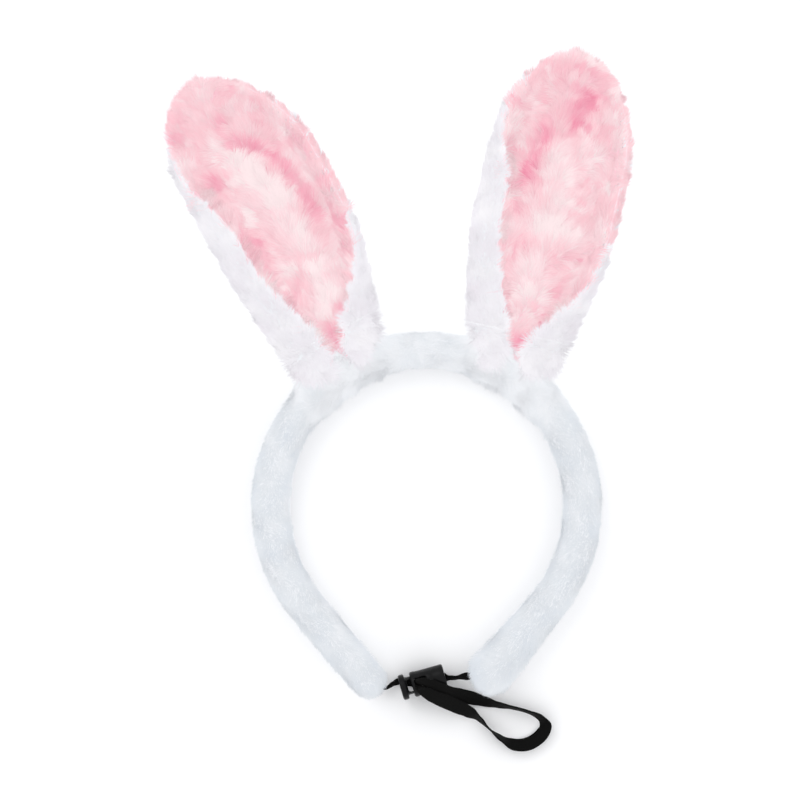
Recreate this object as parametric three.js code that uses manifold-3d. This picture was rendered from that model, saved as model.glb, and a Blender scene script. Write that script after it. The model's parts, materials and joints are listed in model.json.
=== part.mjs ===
// Animal ears headband: a padded plush hoop with two wired plush ears, worn on a small head and held
// on by a black elastic strap with a spring cord lock. Millimetres. The hoop lies flat on the XY plane
// with the ears towards +Y, and +Z points up off the surface that it lies on. Everything is laid out
// from the hoop's centre first, and the whole part is then moved so that its origin is at the bottom
// centre of the band and ears.

import * as THREE from 'three';
import { mergeVertices } from 'three/addons/utils/BufferGeometryUtils.js';
import Module from 'manifold-3d';

const wasm = await Module();
wasm.setup();

// ---------------------------------------------------------------- driving dimensions

const GAP = 0.3; // clearance between pieces that touch

// hoop
const HOOP_RADIUS = 70.4; // centreline of the padded band
const ARC_DROP = 40; // degrees below horizontal at which each side runs straight
const LEFT_ARM = 43; // straight stretch below the arc
const RIGHT_ARM = 38;
const BAND_TOP_HALF = 7.0; // half the band's radial thickness, over the crown
const BAND_SIDE_HALF = 8.0; // the same at the sides
const LEFT_END_HALF = 7.4;
const RIGHT_END_HALF = 9.3;
const BAND_HALF_HEIGHT = 9.0;
const BAND_AXIS_Z = 8.6; // less than the half height, so the underside is pressed flat
const COVER_THICKNESS = 1.4;
const CORE_THICKNESS = 2.2;
const CORE_WIDTH = 10;
const CORE_INSET = 1.0; // from the centre of each round end to the core's tip
const PADDING_INSET = 10.5;
const BINDING_FROM = 3.0; // the wrap that holds the strap's end to the core
const BINDING_TO = 8.5;
const BINDING_WALL = 0.6;
const THREAD_RADIUS = 0.35;

// ears, in their own frame: +Y from the band's centreline to the tip, +Z off the surface
const EAR_SPREAD = 31.5; // degrees from the crown to each ear's root
const LEFT_LEAN = 27.8; // degrees from +Y, to the left
const RIGHT_LEAN = -12.9;
const LEFT_BOW = 5.0; // sideways bow of the ear's middle
const RIGHT_BOW = 0.5;
const EAR_REACH = 145; // band centreline to tip
const EAR_START = 2; // where the sheets start, before the band's clearance is cut away
const EAR_BASE_HALF = 15;
const EAR_MAX_HALF = 29;
const TIP_FROM = 0.66; // share of the length at which the outline starts to round in
const RIM_LEFT_CURL = [166, 136]; // degrees round the section to the rolled edge, base and middle
const RIM_RIGHT_CURL = [168, 96];
const EAR_DEPTH = [7.6, 12.2, 5.5]; // half depth of the section at base, middle and tip
const TIP_LIFT = 5; // how far the valley rises off the surface at the tip
const BASE_LIFT = 1.1; // and at the base
const EAR_BACK_THICKNESS = 1.6;
const EAR_LINING_THICKNESS = 1.6;
const FELT_HALF = 0.6;
const SHEET_OFFSET = 1.2; // from the middle of the felt to the plush on each side of it
const EAR_CLEARANCE = 10.5; // radius about the bend axis that the ear's sheets stay out of
const WIRE_SHARE = 0.6; // of the way from the felt's edge to the rim, where the wire runs
const WIRE_RADIUS = 0.4;

// cord lock, in its own frame: +X from the barrel's mouth to its closed end
const LOCK_MOUTH = new THREE.Vector2(-6.5, -80.6);
const LOCK_TURN = 15.8; // degrees
const LOCK_AXIS_Z = 7.9;
const BARREL_RADIUS = 5.5;
const BARREL_FLARE = 0.25;
const BARREL_BORE = 4.3;
const BARREL_LENGTH = 15.4;
const BARREL_END = 1.3;
const HOLE_LENGTH = 6.0;
const HOLE_WIDTH = 5.8;
const BARREL_HOLE_X = 4.4;
const PLUNGER_RADIUS = 4.0;
const PLUNGER_END_X = 8.6;
const PLUNGER_HOLE = [-2.1, 4.6];
const HEAD_RADIUS = 5.8;
const SPRING_RADIUS = 2.8;
const SPRING_WIRE = 0.35;
const SPRING_TURNS = 3.5;

// strap: woven elastic, flat where it is free and bunched where it goes through the lock
const STRAP_WIDTH = 6.5;
const STRAP_THICKNESS = 0.9;
const BUNCHED = [2.6, 2.2];
const FLATTENED = [5.0, 1.1];
const GATHERED = [3.4, 1.5];
const FREE = [STRAP_WIDTH, STRAP_THICKNESS];

// mesh density
const BAND_STEP = 12; // along the band
const BAND_SIDES = 12;
const EAR_COLUMNS = 10;
const EAR_ROWS = 10; // below the rounded tip
const TIP_ROWS = 7;
const TIP_LAST_ANGLE = 84; // degrees round the tip's outline at which the sheets end

// ---------------------------------------------------------------- helpers

const rad = THREE.MathUtils.degToRad;
const mix = THREE.MathUtils.lerp;
const smooth = THREE.MathUtils.smoothstep;
const v3 = (x, y, z) => new THREE.Vector3(x, y, z);
const UP = v3(0, 0, 1);

function facingOut(geometry) {
  const p = geometry.attributes.position;
  const index = geometry.index.array;
  const [a, b, c] = [v3(), v3(), v3()];
  let volume = 0;
  for (let i = 0; i < index.length; i += 3) {
    a.fromBufferAttribute(p, index[i]);
    b.fromBufferAttribute(p, index[i + 1]);
    c.fromBufferAttribute(p, index[i + 2]);
    volume += a.dot(b.cross(c));
  }
  if (volume < 0) index.reverse();
  return geometry;
}

function indexed(points, index) {
  const geometry = new THREE.BufferGeometry().setFromPoints(points);
  geometry.setIndex(index);
  return facingOut(geometry);
}

// a closed solid through rings of equal count, with a fan over each end
function loft(rings) {
  const sides = rings[0].length;
  const points = rings.flat();
  const index = [];
  for (let r = 0; r + 1 < rings.length; r++) {
    for (let k = 0; k < sides; k++) {
      const a = r * sides + k;
      const b = r * sides + ((k + 1) % sides);
      index.push(a, b, b + sides, a, b + sides, a + sides);
    }
  }
  for (const [ring, flip] of [[0, true], [rings.length - 1, false]]) {
    const middle = points.length;
    const centre = v3(0, 0, 0);
    rings[ring].forEach((p) => centre.add(p));
    points.push(centre.divideScalar(sides));
    for (let k = 0; k < sides; k++) {
      const a = ring * sides + k;
      const b = ring * sides + ((k + 1) % sides);
      index.push(...(flip ? [middle, b, a] : [middle, a, b]));
    }
  }
  return indexed(points, index);
}

// a sheet with thickness: grids of outer and inner points, joined round the four edges
function sheet(outer, inner) {
  const rows = outer.length;
  const columns = outer[0].length;
  const points = [...outer.flat(), ...inner.flat()];
  const far = rows * columns;
  const index = [];
  const quad = (a, b, c, d) => index.push(a, b, c, a, c, d);
  const at = (r, k) => r * columns + k;
  for (let r = 0; r + 1 < rows; r++) {
    for (let k = 0; k + 1 < columns; k++) {
      const [a, b, c, d] = [at(r, k), at(r, k + 1), at(r + 1, k + 1), at(r + 1, k)];
      quad(a, b, c, d);
      quad(far + a, far + d, far + c, far + b);
    }
  }
  const wall = (a, b) => quad(a, far + a, far + b, b);
  for (let r = 0; r + 1 < rows; r++) {
    wall(at(r + 1, 0), at(r, 0));
    wall(at(r, columns - 1), at(r + 1, columns - 1));
  }
  for (let k = 0; k + 1 < columns; k++) {
    wall(at(0, k), at(0, k + 1));
    wall(at(rows - 1, k + 1), at(rows - 1, k));
  }
  return indexed(points, index);
}

// a round rod through a list of points, straight from each to the next
function rod(points, radius, sides) {
  const last = points.length - 1;
  const normal = v3(0.31, 0.17, 0.93);
  const rings = points.map((point, i) => {
    const along = points[Math.min(i + 1, last)].clone().sub(points[Math.max(i - 1, 0)]).normalize();
    normal.addScaledVector(along, -normal.dot(along)).normalize();
    const across = v3().crossVectors(along, normal);
    return Array.from({ length: sides }, (_, k) => {
      const turn = (2 * Math.PI * k) / sides;
      const spoke = normal.clone().multiplyScalar(radius * Math.cos(turn));
      return spoke.addScaledVector(across, radius * Math.sin(turn)).add(point);
    });
  });
  return loft(rings);
}

// a flat strap: each station has a place, the direction of its width, and its width and thickness
function ribbon(stations, steps, extra = 0) {
  const path = new THREE.CatmullRomCurve3(stations.map((s) => v3(...s.at)), false, 'centripetal');
  const rings = [];
  for (let i = 0; i <= steps; i++) {
    const t = i / steps;
    const u = t * (stations.length - 1);
    const k = Math.min(Math.floor(u), stations.length - 2);
    const [from, to] = [stations[k], stations[k + 1]];
    const share = smooth(u - k, 0, 1);
    const along = path.getTangent(t);
    const wide = v3(...from.wide).lerp(v3(...to.wide), share);
    wide.addScaledVector(along, -wide.dot(along)).normalize();
    const thick = v3().crossVectors(along, wide);
    const w = mix(from.size[0], to.size[0], share) / 2 + extra;
    const h = mix(from.size[1], to.size[1], share) / 2 + extra;
    const corners = [[w, h], [-w, h], [-w, -h], [w, -h]];
    const middle = path.getPoint(t);
    rings.push(corners.map(([a, b]) => middle.clone().addScaledVector(wide, a).addScaledVector(thick, b)));
  }
  return loft(rings);
}

function toManifold(geometry) {
  const bare = geometry.clone();
  bare.deleteAttribute('normal');
  bare.deleteAttribute('uv');
  const merged = mergeVertices(bare, 1e-4);
  return new wasm.Manifold(new wasm.Mesh({
    numProp: 3,
    vertProperties: new Float32Array(merged.attributes.position.array),
    triVerts: Uint32Array.from(merged.index.array),
  }));
}

function toGeometry(manifold) {
  const mesh = manifold.getMesh();
  const geometry = new THREE.BufferGeometry();
  geometry.setAttribute('position', new THREE.BufferAttribute(new Float32Array(mesh.vertProperties), 3));
  geometry.setIndex(Array.from(mesh.triVerts));
  return geometry;
}

function cut(geometry, ...tools) {
  const result = tools.reduce((body, tool) => body.subtract(toManifold(tool)), toManifold(geometry));
  return toGeometry(result);
}

// ---------------------------------------------------------------- materials

function material(color, roughness, metalness = 0) {
  return new THREE.MeshStandardMaterial({ color, roughness, metalness });
}

const finishes = {
  whitePlush: () => material('#e9ecf1', 0.95),
  pinkPlush: () => material('#f7c6d2', 0.95),
  elastic: () => material('#161515', 0.85),
  blackPlastic: () => material('#1c1c1d', 0.45),
  corePlastic: () => material('#e8e6df', 0.5),
  foam: () => material('#efe9d8', 0.9),
  felt: () => material('#f1f0ec', 0.95),
  wire: () => material('#a9adb2', 0.35, 1),
  thread: () => material('#f2f2f2', 0.8),
  tape: () => material('#d9d4c4', 0.7),
};

const nodes = {};

function node(name, geometry, finish, parent) {
  const mesh = new THREE.Mesh(geometry, finishes[finish]());
  mesh.name = name;
  nodes[name] = mesh;
  parent.add(mesh);
  return mesh;
}

// ---------------------------------------------------------------- band

const ARC_LENGTH = HOOP_RADIUS * rad(180 + 2 * ARC_DROP);
const BAND_LENGTH = LEFT_ARM + ARC_LENGTH + RIGHT_ARM; // between the centres of the round ends

// the band's centreline at a distance from the centre of its left end, which may run past either end
function bandAt(distance) {
  const onArc = THREE.MathUtils.clamp(distance - LEFT_ARM, 0, ARC_LENGTH);
  const angle = rad(180 + ARC_DROP) - onArc / HOOP_RADIUS;
  const along = v3(Math.sin(angle), -Math.cos(angle), 0);
  const out = v3(Math.cos(angle), Math.sin(angle), 0);
  const at = out.clone().multiplyScalar(HOOP_RADIUS).addScaledVector(along, distance - LEFT_ARM - onArc);
  at.z = BAND_AXIS_Z;
  return { at, along, out, angle };
}

function bandHalf(distance) {
  if (distance < LEFT_ARM) return mix(LEFT_END_HALF, BAND_SIDE_HALF, Math.max(distance, 0) / LEFT_ARM);
  const pastArc = distance - LEFT_ARM - ARC_LENGTH;
  if (pastArc > 0) return mix(BAND_SIDE_HALF, RIGHT_END_HALF, Math.min(pastArc / RIGHT_ARM, 1));
  const crown = Math.max(Math.sin(bandAt(distance).angle), 0) ** 2;
  return mix(BAND_SIDE_HALF, BAND_TOP_HALF, crown);
}

function bandRing(distance, inset, scale = 1) {
  const { at, out } = bandAt(distance);
  const half = (bandHalf(distance) - inset) * scale;
  const height = (BAND_HALF_HEIGHT - inset) * scale;
  const ring = [];
  for (let k = 0; k < BAND_SIDES; k++) {
    const turn = (2 * Math.PI * (k + 0.5)) / BAND_SIDES;
    const point = at.clone().addScaledVector(out, half * Math.cos(turn));
    point.z = Math.max(at.z + height * Math.sin(turn), inset);
    ring.push(point);
  }
  return ring;
}

// distances along the band between two limits; all pieces share the stations, so their facets line up
function bandSteps(from, to) {
  const count = Math.round(BAND_LENGTH / BAND_STEP);
  const stations = Array.from({ length: count + 1 }, (_, i) => (BAND_LENGTH * i) / count);
  return [from, ...stations.filter((s) => s > from + 1 && s < to - 1), to];
}

// a tube round the band's centreline, its surface the given inset inside the cover's, with domed ends
function domedTube(inset) {
  const domeAngles = [78, 57, 36, 18].map(rad);
  const left = domeAngles.map((t) => bandRing(-(LEFT_END_HALF - inset) * Math.sin(t), inset, Math.cos(t)));
  const right = domeAngles.map((t) => (
    bandRing(BAND_LENGTH + (RIGHT_END_HALF - inset) * Math.sin(t), inset, Math.cos(t))
  ));
  const middle = bandSteps(0, BAND_LENGTH).map((s) => bandRing(s, inset));
  return loft([...left, ...middle, ...right.reverse()]);
}

// a bar along the band: radial is [inner, outer] off the centreline, height is its half height in Z
function bandBar(from, to, radial, height) {
  const rings = bandSteps(from, to).map((s) => {
    const { at, out } = bandAt(s);
    const corners = [[radial[0], -height], [radial[1], -height], [radial[1], height], [radial[0], height]];
    return corners.map(([r, z]) => at.clone().addScaledVector(out, r).addScaledVector(UP, z));
  });
  return loft(rings);
}

// ---------------------------------------------------------------- strap route, from the hoop's centre

const turned = rad(LOCK_TURN);
const LOCK_X = [Math.cos(turned), Math.sin(turned), 0];
const LOCK_Y = [-Math.sin(turned), Math.cos(turned), 0];
const VERTICAL = [0, 0, 1];
const STRAP_HOLE_X = 3.0; // where the strands pass through the barrel
const STRAND_SHIFT = 1.3; // of each strand off the lock's axis

// a place over or under the lock's hole, in the strand on the near (-1) or far (+1) side
function inHole(side, z) {
  const x = LOCK_MOUTH.x + STRAP_HOLE_X * LOCK_X[0] + side * STRAND_SHIFT * LOCK_Y[0];
  const y = LOCK_MOUTH.y + STRAP_HOLE_X * LOCK_X[1] + side * STRAND_SHIFT * LOCK_Y[1];
  return [x, y, z];
}

const STRAP_LAP = CORE_THICKNESS / 2 + GAP + STRAP_THICKNESS / 2; // strap centre off the core's centre

// a place on the strap's end, lapped on the inner side of the core; distance from the band's end centre
function onCore(side, distance) {
  const { at, out } = bandAt(side < 0 ? distance : BAND_LENGTH - distance);
  return at.addScaledVector(out, -STRAP_LAP).toArray();
}

const BUNCHED_ACROSS = [BUNCHED[1], BUNCHED[0]];

const leftLead = [
  { at: onCore(-1, 9.0), wide: VERTICAL, size: FREE },
  { at: onCore(-1, 3.0), wide: VERTICAL, size: FREE },
  { at: onCore(-1, 0), wide: VERTICAL, size: [5, 1] },
  { at: [-21.6, -80.9, 6.8], wide: VERTICAL, size: GATHERED },
  { at: [-18.2, -82.2, 3.9], wide: VERTICAL, size: GATHERED },
  { at: [-15.2, -80.6, 2.0], wide: [-0.3, 0.4, 0.85], size: [2.8, 1.3] },
  { at: [-12.2, -79.4, 1.0], wide: [-0.4, 0.9, 0.2], size: [3, 1.2] },
  { at: [-8.6, -79.7, 0.9], wide: [0, 1, 0], size: [4, 1.1] },
  { at: [-5.4, -81.0, 0.95], wide: LOCK_Y, size: [2.2, 1.2] },
  { at: inHole(-1, 2.4), wide: LOCK_Y, size: [2.2, 1.8] },
  { at: inHole(-1, LOCK_AXIS_Z - GAP / 2), wide: LOCK_Y, size: BUNCHED_ACROSS },
];

const rightLead = [
  { at: onCore(1, 9.0), wide: VERTICAL, size: FREE },
  { at: onCore(1, 3.0), wide: VERTICAL, size: FREE },
  { at: onCore(1, 0), wide: VERTICAL, size: [5, 1] },
  { at: [23.6, -75.3, 8.0], wide: VERTICAL, size: GATHERED },
  { at: [18.4, -76.8, 6.4], wide: [0, 0.75, 0.65], size: [4.2, 1.2] },
  { at: [13.8, -77.6, 3.8], wide: [0, 0.2, 0.95], size: GATHERED },
  { at: [10.6, -77.8, 1.8], wide: [0, 0.6, 0.8], size: [2.6, 1.3] },
  { at: [7.4, -77.8, 0.95], wide: [0, 1, 0.1], size: FLATTENED },
  { at: [2.5, -77.8, 0.9], wide: [0, 1, 0], size: FLATTENED },
  { at: [-1.6, -77.9, 0.95], wide: LOCK_Y, size: [2.2, 1.4] },
  { at: inHole(1, 2.4), wide: LOCK_Y, size: [2.2, 1.8] },
  { at: inHole(1, LOCK_AXIS_Z - GAP / 2), wide: LOCK_Y, size: BUNCHED_ACROSS },
];

const strapLoop = [
  { at: inHole(-1, LOCK_AXIS_Z + GAP / 2), wide: LOCK_X, size: BUNCHED },
  { at: inHole(-1, 12.6), wide: LOCK_X, size: BUNCHED },
  { at: [-2.0, -82.6, 15.6], wide: [0.75, 0.65, 0], size: [4.2, 1.2] },
  { at: [2.6, -85.2, 15.2], wide: [0.5, 0.86, 0], size: [5.6, 1] },
  { at: [8.2, -87.7, 11.6], wide: [0.46, 0.88, 0.05], size: FREE },
  { at: [13.6, -90.3, 7.4], wide: [0.44, 0.85, 0.15], size: FREE },
  { at: [19.0, -93.0, 4.6], wide: [0.4, 0.7, 0.55], size: FREE },
  { at: [23.8, -96.2, 3.8], wide: [0.2, 0.3, 0.95], size: FREE },
  { at: [28.2, -100.6, 3.7], wide: [0.1, 0, 1], size: FREE },
  { at: [33.6, -104.9, 3.6], wide: [0, -0.35, 0.95], size: FREE },
  { at: [39.6, -107.9, 3.0], wide: [0.1, -0.75, 0.6], size: FREE },
  { at: [46.0, -107.6, 2.6], wide: [0.4, -0.8, 0.45], size: FREE },
  { at: [51.6, -103.9, 2.6], wide: [0.8, -0.45, 0.45], size: FREE },
  { at: [53.9, -99.6, 3.0], wide: [0.75, 0.2, 0.6], size: FREE },
  { at: [51.6, -95.8, 3.5], wide: [0.3, 0.3, 0.9], size: FREE },
  { at: [45.7, -93.0, 3.6], wide: [0.1, 0.2, 0.97], size: FREE },
  { at: [38.9, -91.2, 3.6], wide: [0, 0.25, 0.97], size: FREE },
  { at: [32.2, -89.9, 3.5], wide: [-0.1, 0.45, 0.85], size: FREE },
  { at: [26.4, -88.4, 3.1], wide: [-0.1, 0.75, 0.65], size: FREE },
  { at: [20.6, -86.9, 3.4], wide: [-0.1, 0.92, 0.4], size: FREE },
  { at: [14.9, -85.3, 6.8], wide: [0.1, 0.9, 0.4], size: FREE },
  { at: [9.8, -83.2, 11.4], wide: [0.25, 0.9, 0.3], size: [5, 1] },
  { at: [4.2, -80.6, 13.9], wide: [0.3, 0.9, 0.15], size: [4.4, 1.1] },
  { at: [-1.2, -78.7, 14.9], wide: [0.6, 0.7, 0], size: [3.4, 1.4] },
  { at: inHole(1, 12.6), wide: LOCK_X, size: BUNCHED },
  { at: inHole(1, LOCK_AXIS_Z + GAP / 2), wide: LOCK_X, size: BUNCHED },
];

// ---------------------------------------------------------------- ears

const ears = [
  { side: 'left', angle: 90 + EAR_SPREAD, lean: LEFT_LEAN, bow: LEFT_BOW },
  { side: 'right', angle: 90 - EAR_SPREAD, lean: RIGHT_LEAN, bow: RIGHT_BOW },
];

for (const ear of ears) {
  const turn = rad(ear.angle);
  ear.root = v3(HOOP_RADIUS * Math.cos(turn), HOOP_RADIUS * Math.sin(turn), 0);
  ear.matrix = new THREE.Matrix4().makeRotationZ(rad(ear.lean)).setPosition(ear.root);
}

const tipShare = (share) => TIP_FROM + (1 - TIP_FROM) * share;

// shares of the ear's length for the rows of a sheet
function earRows() {
  const below = Array.from({ length: EAR_ROWS }, (_, i) => (TIP_FROM * i) / EAR_ROWS);
  const tip = Array.from({ length: TIP_ROWS + 1 }, (_, i) => (
    tipShare(Math.sin(rad((TIP_LAST_ANGLE * i) / TIP_ROWS)))
  ));
  return [...below, ...tip];
}

// the ear's section at a share of its length: an ellipse's arc, open upwards
function earSection(ear, share) {
  const rounding = share < TIP_FROM ? 1 : Math.sqrt(Math.max(1 - ((share - TIP_FROM) / (1 - TIP_FROM)) ** 2, 0));
  const swell = Math.sin((Math.PI / 2) * Math.min(share / 0.5, 1));
  const half = mix(EAR_BASE_HALF, EAR_MAX_HALF, swell) * rounding;
  const opening = 90 * rounding;
  const uncurl = 1 - smooth(share, TIP_FROM - 0.14, TIP_FROM + 0.2);
  const leftCurl = mix(RIM_LEFT_CURL[0], RIM_LEFT_CURL[1], smooth(share, 0.02, 0.42)) - 90;
  const rightCurl = mix(RIM_RIGHT_CURL[0], RIM_RIGHT_CURL[1], smooth(share, 0.02, 0.38)) - 90;
  const edges = [opening + leftCurl * uncurl, opening + rightCurl * uncurl].map(rad);
  const reach = edges.map((edge) => half / Math.sin(Math.min(edge, Math.PI / 2)));
  const [base, middle, tip] = EAR_DEPTH;
  const depth = mix(mix(base, middle, smooth(share, 0, 0.4)), tip, smooth(share, 0.68, 1));
  const lowest = SHEET_OFFSET + EAR_BACK_THICKNESS + 0.4;
  const lift = BASE_LIFT * (1 - smooth(share, 0.15, 0.45)) + TIP_LIFT * smooth(share, 0.6, 1) ** 2;
  const valley = lowest + lift;
  const along = mix(EAR_START, EAR_REACH, share);
  return { edges, reach, depth, valley, along, bow: ear.bow * Math.sin(Math.PI * share) };
}

// a point on the ear: turn is -1 at the left rim, 0 in the valley and 1 at the right rim
function earPoint(ear, share, turn, offset = 0) {
  const { edges, reach, depth, valley, along, bow } = earSection(ear, share);
  const [edge, wide] = turn < 0 ? [edges[0], reach[0]] : [edges[1], reach[1]];
  const angle = turn * edge;
  const normal = v3(depth * Math.sin(angle), 0, -wide * Math.cos(angle)).normalize();
  const point = v3(bow + wide * Math.sin(angle), along, valley + depth * (1 - Math.cos(angle)));
  return point.addScaledVector(normal, offset);
}

// a sheet between two offsets, kept back from the rims and the tip by a number of columns and rows
function earSheet(ear, inner, outer, margin = 0) {
  const rows = earRows().slice(0, EAR_ROWS + TIP_ROWS + 1 - 2 * margin);
  const columns = Array.from({ length: EAR_COLUMNS + 1 - 2 * margin }, (_, k) => k + margin);
  const grid = (offset) => rows.map((share) => (
    columns.map((k) => earPoint(ear, share, (2 * k) / EAR_COLUMNS - 1, offset))
  ));
  return sheet(grid(outer), grid(inner));
}

// the space about the bend axis that the ear's sheets stay out of, in the ear's frame
function bendClearance(ear) {
  const cylinder = new THREE.CylinderGeometry(EAR_CLEARANCE, EAR_CLEARANCE, 90, 24);
  cylinder.rotateZ(rad(ear.angle - ear.lean));
  cylinder.translate(0, 0, BAND_AXIS_Z);
  return cylinder;
}

const WIRE_FOOT = [3.2, 3.5]; // across and along the ear, beside the core
const WIRE_KNEE = [4.6, 2.6, 10.1]; // where a leg leaves the band, with its height over the foot
const WIRE_ENTRY = 0.035; // share of the length at which a leg runs in between the sheets
const FELT_EDGE = 1 - 2 / EAR_COLUMNS;

// a point beside the rim, on the facet between the felt's edge and the rim
function nearRim(ear, share, side, way, offset = 0) {
  const edge = earPoint(ear, share, side * FELT_EDGE, offset);
  return edge.lerp(earPoint(ear, share, side, offset), way);
}

// points across the sheets at one share of the length, from the left felt edge to the right
function acrossEar(ear, share, offset = 0) {
  const turns = Array.from({ length: EAR_COLUMNS - 1 }, (_, k) => (2 * (k + 1)) / EAR_COLUMNS - 1);
  return turns.map((turn) => earPoint(ear, share, turn, offset));
}

function wirePath(ear) {
  const rows = [WIRE_ENTRY, ...earRows().slice(1, -1)];
  const side = (turn) => rows.map((share) => nearRim(ear, share, turn, WIRE_SHARE));
  const leg = (turn) => [
    v3(turn * WIRE_FOOT[0], WIRE_FOOT[1], BAND_AXIS_Z),
    v3(turn * WIRE_KNEE[0], WIRE_KNEE[1], BAND_AXIS_Z + WIRE_KNEE[2]),
  ];
  const over = acrossEar(ear, rows.at(-1));
  return [...leg(-1), ...side(-1), ...over, ...side(1).reverse(), ...leg(1).reverse()];
}

// the holes that the wire's legs go through, in the ear's frame
function legHoles(ear) {
  const path = wirePath(ear);
  return [path.slice(0, 4), path.slice(-4)].map((leg) => rod(leg, WIRE_RADIUS + GAP, 8));
}

const RIM_THREAD_STANDOFF = GAP + THREAD_RADIUS + 0.25;
const RIM_THREAD_OFFSET = 0.8; // towards the back, off the middle of the felt

function rimThread(ear) {
  const rows = earRows().slice(1);
  const outside = (side) => rows.map((share) => {
    const rim = earPoint(ear, share, side, RIM_THREAD_OFFSET);
    const outward = rim.clone().sub(nearRim(ear, share, side, 0, RIM_THREAD_OFFSET)).normalize();
    return rim.addScaledVector(outward, RIM_THREAD_STANDOFF);
  });
  const tip = earPoint(ear, rows.at(-1), 0, RIM_THREAD_OFFSET).add(v3(0, RIM_THREAD_STANDOFF, 0));
  return rod([...outside(-1), tip, ...outside(1).reverse()], THREAD_RADIUS, 5);
}

const BASE_THREAD_ROWS = [1, 2]; // the rows of the sheets that the gathering thread runs between
const BASE_THREAD_WAY = 0.7; // how far it is from the first of them to the second

// the thread that gathers the ear's base, from rim to rim round the back
function baseThread(ear) {
  const offset = SHEET_OFFSET + EAR_BACK_THICKNESS + 2 * GAP + THREAD_RADIUS;
  const turns = Array.from({ length: EAR_COLUMNS + 1 }, (_, k) => (2 * k) / EAR_COLUMNS - 1);
  const [below, above] = BASE_THREAD_ROWS.map((row) => (row * TIP_FROM) / EAR_ROWS);
  const points = turns.map((turn) => (
    earPoint(ear, below, turn, offset).lerp(earPoint(ear, above, turn, offset), BASE_THREAD_WAY)
  ));
  return rod(points, THREAD_RADIUS, 5);
}

// ---------------------------------------------------------------- cord lock

// a solid turned about the lock's axis, from [x, radius] pairs
function turnedAboutX(profile, segments = 20) {
  const points = profile.map(([x, radius]) => new THREE.Vector2(radius, x));
  return facingOut(new THREE.LatheGeometry(points, segments).rotateZ(-Math.PI / 2));
}

function holeTool(from, to) {
  const box = new THREE.BoxGeometry(to - from, HOLE_WIDTH, 40);
  return box.translate((from + to) / 2, 0, 0);
}

function lockBody() {
  const wall = BARREL_LENGTH - BARREL_END;
  const flare = BARREL_RADIUS + BARREL_FLARE;
  const barrel = turnedAboutX([
    [0, BARREL_BORE], [wall, BARREL_BORE], [wall, 0], [BARREL_LENGTH, 0],
    [BARREL_LENGTH, BARREL_RADIUS - 0.5], [BARREL_LENGTH - 0.5, BARREL_RADIUS],
    [5, BARREL_RADIUS], [0.5, flare], [0, flare - 0.4], [0, BARREL_BORE],
  ]);
  return cut(barrel, holeTool(BARREL_HOLE_X - HOLE_LENGTH / 2, BARREL_HOLE_X + HOLE_LENGTH / 2));
}

function lockPlunger() {
  const plunger = turnedAboutX([
    [-5.3, 0], [-5.3, HEAD_RADIUS - 0.6], [-4.7, HEAD_RADIUS], [-3.3, HEAD_RADIUS],
    [-2.7, HEAD_RADIUS - 0.6], [-2.6, PLUNGER_RADIUS], [PLUNGER_END_X, PLUNGER_RADIUS],
    [PLUNGER_END_X, 0],
  ]);
  return cut(plunger, holeTool(...PLUNGER_HOLE));
}

function lockSpring() {
  const from = PLUNGER_END_X + GAP + SPRING_WIRE;
  const to = BARREL_LENGTH - BARREL_END - GAP - SPRING_WIRE;
  const count = SPRING_TURNS * 8;
  const points = Array.from({ length: count + 1 }, (_, i) => {
    const turn = (2 * Math.PI * SPRING_TURNS * i) / count;
    return v3(mix(from, to, i / count), SPRING_RADIUS * Math.cos(turn), SPRING_RADIUS * Math.sin(turn));
  });
  return rod(points, SPRING_WIRE, 5);
}

// ---------------------------------------------------------------- assembly

const group = new THREE.Group();
const hoop = new THREE.Group(); // everything, laid out from the hoop's centre
group.add(hoop);

const legTools = ears.flatMap((ear) => legHoles(ear).map((hole) => hole.applyMatrix4(ear.matrix)));
const strapTools = [leftLead, rightLead].map((route) => ribbon(route, 40, GAP));
const boreHalf = CORE_THICKNESS / 2 + GAP;
const coreHalf = CORE_THICKNESS / 2;

node('band_core', bandBar(CORE_INSET, BAND_LENGTH - CORE_INSET, [-coreHalf, coreHalf], CORE_WIDTH / 2),
  'corePlastic', hoop);

const paddingRings = bandSteps(PADDING_INSET, BAND_LENGTH - PADDING_INSET);
const padding = loft(paddingRings.map((s) => bandRing(s, COVER_THICKNESS + GAP)));
const paddingBore = bandBar(0, BAND_LENGTH, [-boreHalf, boreHalf], CORE_WIDTH / 2 + GAP);
node('band_padding', cut(padding, paddingBore, ...legTools), 'foam', hoop);

node('band_cover', cut(domedTube(0), domedTube(COVER_THICKNESS), ...strapTools, ...legTools),
  'whitePlush', hoop);

const seamPoints = bandSteps(CORE_INSET, BAND_LENGTH - CORE_INSET).map((s) => {
  const { at, out } = bandAt(s);
  return at.addScaledVector(out, -(bandHalf(s) + GAP + THREAD_RADIUS));
});
node('band_seam_thread', rod(seamPoints, THREAD_RADIUS, 5), 'thread', hoop);

for (const [side, name] of [[-1, 'left'], [1, 'right']]) {
  const reach = side < 0 ? [BINDING_FROM, BINDING_TO] : [BAND_LENGTH - BINDING_TO, BAND_LENGTH - BINDING_FROM];
  const inside = [-(STRAP_LAP + STRAP_THICKNESS / 2 + GAP), boreHalf];
  const outside = [inside[0] - BINDING_WALL, inside[1] + BINDING_WALL];
  const height = CORE_WIDTH / 2 + GAP;
  const wrap = bandBar(...reach, outside, height + BINDING_WALL);
  const opening = bandBar(reach[0] - 1, reach[1] + 1, inside, height);
  node(`${name}_strap_binding`, cut(wrap, opening), 'tape', hoop);
}

node('strap_left_lead', ribbon(leftLead, 36), 'elastic', hoop);
node('strap_right_lead', ribbon(rightLead, 36), 'elastic', hoop);
node('strap_loop', ribbon(strapLoop, 75), 'elastic', hoop);

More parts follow.
